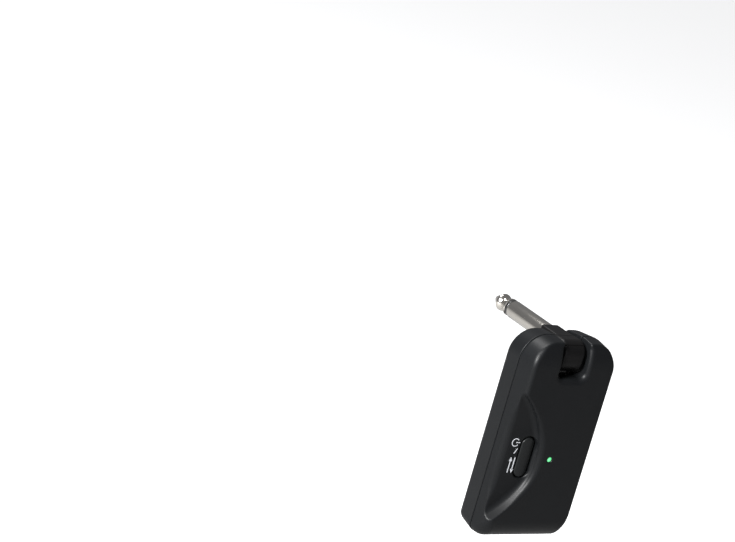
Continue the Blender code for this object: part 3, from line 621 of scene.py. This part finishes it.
def plastic(name, colour, roughness, grain=0.16, depth=0.012, specular=0.5):
    """Moulded plastic with a spark-eroded grain and faint cloudiness."""
    made, tree, shader = new_material(name, colour, roughness)
    shader.inputs["Specular IOR Level"].default_value = specular
    fine = noise(tree, grain)
    cloud = noise(tree, 6.0, 2.0)
    tint(tree, shader, cloud, colour, 0.9, 1.1)
    tree.links.new(spread(tree, fine, roughness - 0.05, roughness + 0.05), shader.inputs["Roughness"])
    bump(tree, shader, fine, depth, 0.5)
    return made


def metal(name, colour, roughness, stretch=(1, 1, 1), depth=0.002):
    """Metal with fine lines drawn out along the axes that stretch makes small."""
    made, tree, shader = new_material(name, colour, roughness, 1.0)
    lines = noise(tree, 0.12, 4.0, stretch)
    cloud = noise(tree, 3.0, 2.0)
    tint(tree, shader, cloud, colour, 0.93, 1.05)
    tree.links.new(spread(tree, lines, roughness * 0.8, roughness * 1.25), shader.inputs["Roughness"])
    bump(tree, shader, lines, depth, 0.4)
    return made


def glowing(name, colour, light, rim, middle):
    """The lit lamp: green, and brightest in its middle."""
    made, tree, shader = new_material(name, colour, 0.2)
    shader.inputs["Emission Color"].default_value = (*light, 1.0)
    coords = tree.nodes.new("ShaderNodeTexCoord")
    away = tree.nodes.new("ShaderNodeVectorMath")
    away.operation = "DISTANCE"
    away.inputs[1].default_value = in_housing((LAMP_X, 0.1, LAMP_HEIGHT))
    tree.links.new(coords.outputs["Object"], away.inputs[0])
    fade = tree.nodes.new("ShaderNodeMapRange")
    fade.inputs["From Min"].default_value = 0.2 * LAMP_RADIUS * MM
    fade.inputs["From Max"].default_value = LAMP_RADIUS * MM
    fade.inputs["To Min"].default_value = middle
    fade.inputs["To Max"].default_value = rim
    tree.links.new(away.outputs["Value"], fade.inputs["Value"])
    tree.links.new(fade.outputs["Result"], shader.inputs["Emission Strength"])
    return made


FINISHES = {
    "charcoal_plastic": (plastic, (0.0038, 0.0042, 0.0047), 0.43, 0.16, 0.005, 0.14),
    "arm_plastic": (plastic, (0.0030, 0.0029, 0.0030), 0.40, 0.12, 0.004, 0.12),
    "button_plastic": (plastic, (0.0066, 0.0072, 0.0074), 0.38, 0.12, 0.005, 0.16),
    "nickel_plate": (metal, (0.66, 0.63, 0.58), 0.16, (1, 0.05, 1), 0.001),
    "insulator_plastic": (plastic, (0.010, 0.010, 0.010), 0.30, 0.2, 0.003),
    "black_acetal": (plastic, (0.010, 0.010, 0.010), 0.40, 0.2, 0.004),
    "steel": (metal, (0.50, 0.50, 0.51), 0.30),
    "brass": (metal, (0.58, 0.40, 0.15), 0.32),
    "acetal": (plastic, (0.62, 0.61, 0.57), 0.45, 0.3, 0.004),
    "board_green": (plastic, (0.010, 0.085, 0.032), 0.35, 0.4, 0.006),
    "chip_black": (plastic, (0.016, 0.016, 0.017), 0.60, 0.06, 0.004),
    "ceramic": (plastic, (0.52, 0.50, 0.45), 0.62, 0.08, 0.004),
    "cell_foil": (metal, (0.50, 0.51, 0.53), 0.34, (1, 1, 1), 0.006),
    "foam": (plastic, (0.030, 0.030, 0.032), 0.92, 0.35, 0.10),
    "red_wire": (plastic, (0.42, 0.015, 0.012), 0.40, 0.3, 0.004),
    "black_wire": (plastic, (0.012, 0.012, 0.013), 0.40, 0.3, 0.004),
    "white_wire": (plastic, (0.60, 0.60, 0.58), 0.40, 0.3, 0.004),
    "clear_acrylic": (plastic, (0.30, 0.48, 0.33), 0.15, 0.5, 0.002),
    "lamp_glow": (glowing, (0.14, 0.55, 0.27), (0.05, 1.0, 0.16), 0.16, 0.5),
    "print_white": (plastic, (0.40, 0.41, 0.43), 0.5, 0.1, 0.003),
}
MATERIALS = {name: make(name, *values) for name, (make, *values) in FINISHES.items()}


def paint(obj, material):
    obj.data.materials.clear()
    obj.data.materials.append(material)


def place(obj, slot, body, *nodes, record_slot=None):
    """Gives a piece its material, the body it rides on and the CAD nodes it stands in for."""
    paint(obj, MATERIALS[slot])
    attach(obj, body)
    if nodes:
        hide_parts(*nodes)
    return obj


# Housing

def make_shells():
    front = solid("front_shell", front_shell, (-18.0, -0.6, -37.6), (18.0, 8.4, 35.6), CELL, in_housing)
    place(front, "charcoal_plastic", "housing", "front_cover")
    rear = solid("rear_shell", rear_shell, (-18.0, 5.6, -37.6), (18.0, 18.0, 35.6), CELL, in_housing)
    place(rear, "charcoal_plastic", "housing", "rear_cover")


def make_button():
    low = (BUTTON_X - 4.0, 2.2, BUTTON_HEIGHT - 8.6)
    high = (BUTTON_X + 4.0, 5.3, BUTTON_HEIGHT + 8.6)
    cap = solid("button_cap", button_form, low, high, SMALL_CELL, in_housing)
    place(cap, "button_plastic", "sync_button", "sync_button")


def make_lamp():
    """A domed lens that glows, and the clear pipe that brings it light from the board."""
    def stand(points):
        return in_housing(points + (LAMP_X, 0, LAMP_HEIGHT))

    dome = [(LAMP_RADIUS * math.sin(angle), LENS_RIM - DOME_RISE * math.cos(angle))
            for angle in [math.pi / 2 * part / 8 for part in range(1, 9)]]
    pole = (AXIS_RADIUS, LENS_RIM - DOME_RISE)
    profile = [pole] + dome + [(LAMP_RADIUS, LENS_END), (AXIS_RADIUS, LENS_END)]
    lens = lathe("lamp_lens", profile, stand, 48)
    place(lens, "lamp_glow", "housing", record_slot="clear_acrylic")
    start = LENS_END + LENS_GAP
    shaft = [(AXIS_RADIUS, start), (LAMP_RADIUS, start), (LAMP_RADIUS, PIPE_END), (AXIS_RADIUS, PIPE_END)]
    place(lathe("lamp_pipe", shaft, stand, 48), "clear_acrylic", "housing", "lamp_light_pipe")


def make_bushes():
    for side, word in ((-1, "left"), (1, "right")):
        def stand(points, side=side):
            x, y, z = points.T
            return in_arm(np.column_stack((side * y, x * side, z)))

        inner = ARM_HALF + 0.25
        flange = NOTCH_HALF - 0.04
        bore, outside, rim, end = 2.15, 2.5, 3.9, 7.6
        profile = [(bore, inner), (rim - 0.15, inner), (rim, inner + 0.15), (rim, flange),
                   (outside, flange), (outside, end), (bore, end), (bore, inner)]
        bush = lathe(f"bush_{word}", profile, stand, 64)
        place(bush, "black_acetal", "housing", f"hinge_bush_{word}")


# Marks
LINE_WIDTH = 0.36
THIN_LINE = 0.30
HEAD_LENGTH = 1.4
HEAD_WIDTHS = (1.3, 1.0, 0.68, 0.36, 0.05)
SUNK = 0.08
PROUD = 0.03


def front_depth(x, height):
    """Depth of the housing's surface in front of a place."""
    shallow = np.full(np.shape(x), -1.0)
    deep = np.full(np.shape(x), 4.5)
    for _ in range(40):
        middle = (shallow + deep) / 2
        outside = front_shell(x, middle, height) > 0
        shallow = np.where(outside, middle, shallow)
        deep = np.where(outside, deep, middle)
    return shallow


def ribbon(name, strokes):
    """Thin print on the scallop's floor: one closed strip for each line and its width or widths."""
    form = bmesh.new()
    for line, width in strokes:
        line = np.array(line, float)
        ahead = np.gradient(line, axis=0)
        ahead /= np.linalg.norm(ahead, axis=1)[:, None]
        across = np.column_stack((-ahead[:, 1], ahead[:, 0]))
        widths = width if np.ndim(width) == 0 else np.array(width)[:, None]
        left = line + across * widths / 2
        right = line - across * widths / 2
        rings = []
        for first, second in zip(left, right):
            ring = []
            for below, pair in ((-PROUD, (first, second)), (SUNK, (second, first))):
                for x, height in pair:
                    depth = float(front_depth(np.array([x]), np.array([height]))[0]) + below
                    ring.append(form.verts.new(in_housing((x, depth, height))))
            rings.append(ring)
        for one, two in zip(rings, rings[1:]):
            for a in range(4):
                b = (a + 1) % 4
                form.faces.new((one[a], one[b], two[b], two[a]))
        form.faces.new(rings[0][::-1])
        form.faces.new(rings[-1])
    bmesh.ops.recalc_face_normals(form, faces=form.faces)
    mark = in_scene(name, as_mesh(name, form))
    return place(mark, "print_white", "housing", record_slot="ceramic")


def arc(centre, radius, start, stop, count):
    """Points along an arc between two angles in degrees."""
    angles = np.radians(np.linspace(start, stop, count))
    return np.column_stack((centre[0] + radius * np.cos(angles), centre[1] + radius * np.sin(angles)))


def straight(start, stop, count=4):
    """Points evenly along a straight line."""
    return np.linspace(start, stop, count)


def arrow(x, tail, tip):
    """A straight arrow along the height: a shaft and a head that narrows to its tip."""
    neck = tip + math.copysign(HEAD_LENGTH, tail - tip)
    return [(straight((x, tail), (x, neck)), LINE_WIDTH),
            (straight((x, neck), (x, tip), len(HEAD_WIDTHS)), HEAD_WIDTHS)]


def make_marks():
    """A power sign, a slash and two opposite arrows for pairing."""
    power = (-12.85, -1.9)
    bar = straight((power[0] + 0.2, power[1]), (power[0] + 1.8, power[1]))
    ribbon("power_mark", [(arc(power, 1.35, 38, 322, 20), THIN_LINE), (bar, THIN_LINE)])
    ribbon("slash_mark", [(straight((-11.4, -4.0), (-12.3, -5.9)), LINE_WIDTH)])
    ribbon("pairing_mark", arrow(-11.3, -7.3, -12.9) + arrow(-12.8, -12.9, -7.3))


# Plug arm

def make_arm():
    body = solid("arm_block", arm_body, (-5.0, -5.0, -6.0), (5.0, 11.2, 6.4), ARM_CELL, in_arm)
    place(body, "arm_plastic", "plug_arm", "plug_arm_block")
    cap = solid("arm_front", arm_cap, (-5.0, -6.6, -6.0), (5.0, -3.6, 6.4), SMALL_CELL, in_arm)
    place(cap, "arm_plastic", "plug_arm", "plug_arm_cap")


def make_plug():
    """The sleeve, the insulator that shows as a ring, and the tip, about the part's +Y axis."""
    def stand(points):
        return points * MM

    sleeve = [(1.75, -8.7), (1.75, 0.3), (3.0, 0.3), (3.175, 0.5), (3.175, 20.3), (3.1, 20.5), (2.95, 20.6),
              (1.45, 20.6), (1.45, -8.7), (1.75, -8.7)]
    place(lathe("plug_barrel", sleeve, stand), "nickel_plate", "plug_arm", "plug_sleeve")
    liner = [(1.15, -9.0), (1.15, 20.85), (2.95, 20.85), (3.02, 20.95), (3.02, 21.7), (2.95, 21.8),
             (0.8, 21.8), (0.8, -9.0), (1.15, -9.0)]
    place(lathe("plug_ring", liner, stand), "insulator_plastic", "plug_arm", "plug_insulator")

    def groove(reach, parts):
        """One side of the groove that the socket's spring drops into, from its floor outward."""
        floor, wall, middle = 2.25, 0.85, 24.9
        return [(floor + wall * (1 - math.cos(angle)) / 2, middle + reach * angle / math.pi)
                for angle in [math.pi * part / parts for part in range(parts + 1)]]

    waist = groove(-2.2, 10)
    shoulder = groove(2.0, 8)[1:]
    rod = [(AXIS_RADIUS, -13.8), (0.5, -13.8), (0.5, 22.05), (2.9, 22.05), (3.1, 22.2)]
    nose = [(3.1, 27.1), (2.95, 27.4), (2.4, 28.3), (1.75, 29.4), (1.3, 30.15), (1.0, 30.6),
            (0.6, 30.9), (AXIS_RADIUS, 31.0)]
    point = rod + waist[::-1] + shoulder + nose
    place(lathe("plug_point", point, stand), "nickel_plate", "plug_arm", "plug_tip")


def dress_carried_nodes():
    """Finishes for the CAD nodes that stay as they are."""
    slots = {entry["node"]: entry["material_slot"] for entry in frame["record"]["subparts"]}
    for name, obj in frame["nodes"].items():
        paint(obj, MATERIALS[slots[name]])


# Studio

def make_camera():
    """Looks from the left and above, rolled so that the housing's long axis leans."""
    azimuth, elevation, roll = [math.radians(angle) for angle in CAMERA_ANGLES]
    target = Vector(CAMERA_TARGET) * MM
    toward = Vector((math.sin(azimuth) * math.cos(elevation), -math.cos(azimuth) * math.cos(elevation),
                     math.sin(elevation)))
    data = bpy.data.cameras.new("camera")
    data.sensor_width = 36.0
    data.lens = CAMERA_LENS
    data.clip_start = 0.01
    camera = in_scene("camera", data)
    camera.location = target + toward * CAMERA_DISTANCE
    camera.rotation_mode = "QUATERNION"
    camera.rotation_quaternion = (-toward).to_track_quat("-Z", "Y") @ Quaternion((0, 0, 1), roll)
    bpy.context.scene.camera = camera
    return camera


def aim(light, direction):
    light.rotation_mode = "QUATERNION"
    light.rotation_quaternion = direction.to_track_quat("-Z", "Y")


def area_light(name, location, target, size, power):
    data = bpy.data.lights.new(name, "AREA")
    data.size = size
    data.energy = power
    light = in_scene(name, data)
    light.location = location
    aim(light, target - location)


def soft_sun(name, toward, spread_angle, strength):
    data = bpy.data.lights.new(name, "SUN")
    data.angle = math.radians(spread_angle)
    data.energy = strength
    aim(in_scene(name, data), -toward)


def by_camera_ray(tree, unseen, seen):
    """A value that is one thing to the camera and another to the light that falls on the part."""
    path = tree.nodes.new("ShaderNodeLightPath")
    share = tree.nodes.new("ShaderNodeMapRange")
    share.inputs["To Min"].default_value = unseen
    share.inputs["To Max"].default_value = seen
    tree.links.new(path.outputs["Is Camera Ray"], share.inputs["Value"])
    return share.outputs["Result"]


def make_lights(camera):
    """A key and a fill placed as the camera sees them, right, up and back, and a sun from above."""
    centre = Vector((0, -0.008, -0.03))
    turned = camera.rotation_quaternion
    area_light("key", centre + turned @ Vector(KEY_PLACE), centre, KEY_SIZE, KEY_POWER)
    soft_sun("top", Vector(SUN_PLACE), SUN_ANGLE, SUN_STRENGTH)
    area_light("fill", centre + turned @ Vector(FILL_PLACE), centre, FILL_SIZE, FILL_POWER)


def make_floor():
    """A plain pale floor, well below the part."""
    form = bmesh.new()
    bmesh.ops.create_grid(form, x_segments=2, y_segments=2, size=6.0)
    floor = in_scene("floor", as_mesh("floor", form))
    floor.location = (0, 0, FLOOR_HEIGHT)
    made, tree, shader = new_material("floor_paint", FLOOR_COLOUR, 0.8)
    tint(tree, shader, by_camera_ray(tree, 0.0, 1.0), FLOOR_COLOUR, *FLOOR_SHARES)
    paint(floor, made)


def make_backdrop():
    """A plain pale world, and colours shown as they are."""
    world = bpy.data.worlds.new("studio")
    world.use_nodes = True
    tree = world.node_tree
    background = tree.nodes["Background"]
    background.inputs["Color"].default_value = (*BACKDROP_COLOUR, 1.0)
    tree.links.new(by_camera_ray(tree, *BACKDROP_STRENGTHS), background.inputs["Strength"])
    bpy.context.scene.world = world
    bpy.context.scene.view_settings.view_transform = "Standard"


dress_carried_nodes()
make_shells()
make_button()
make_lamp()
make_bushes()
make_marks()
make_arm()
make_plug()
make_lights(make_camera())
make_floor()
make_backdrop()
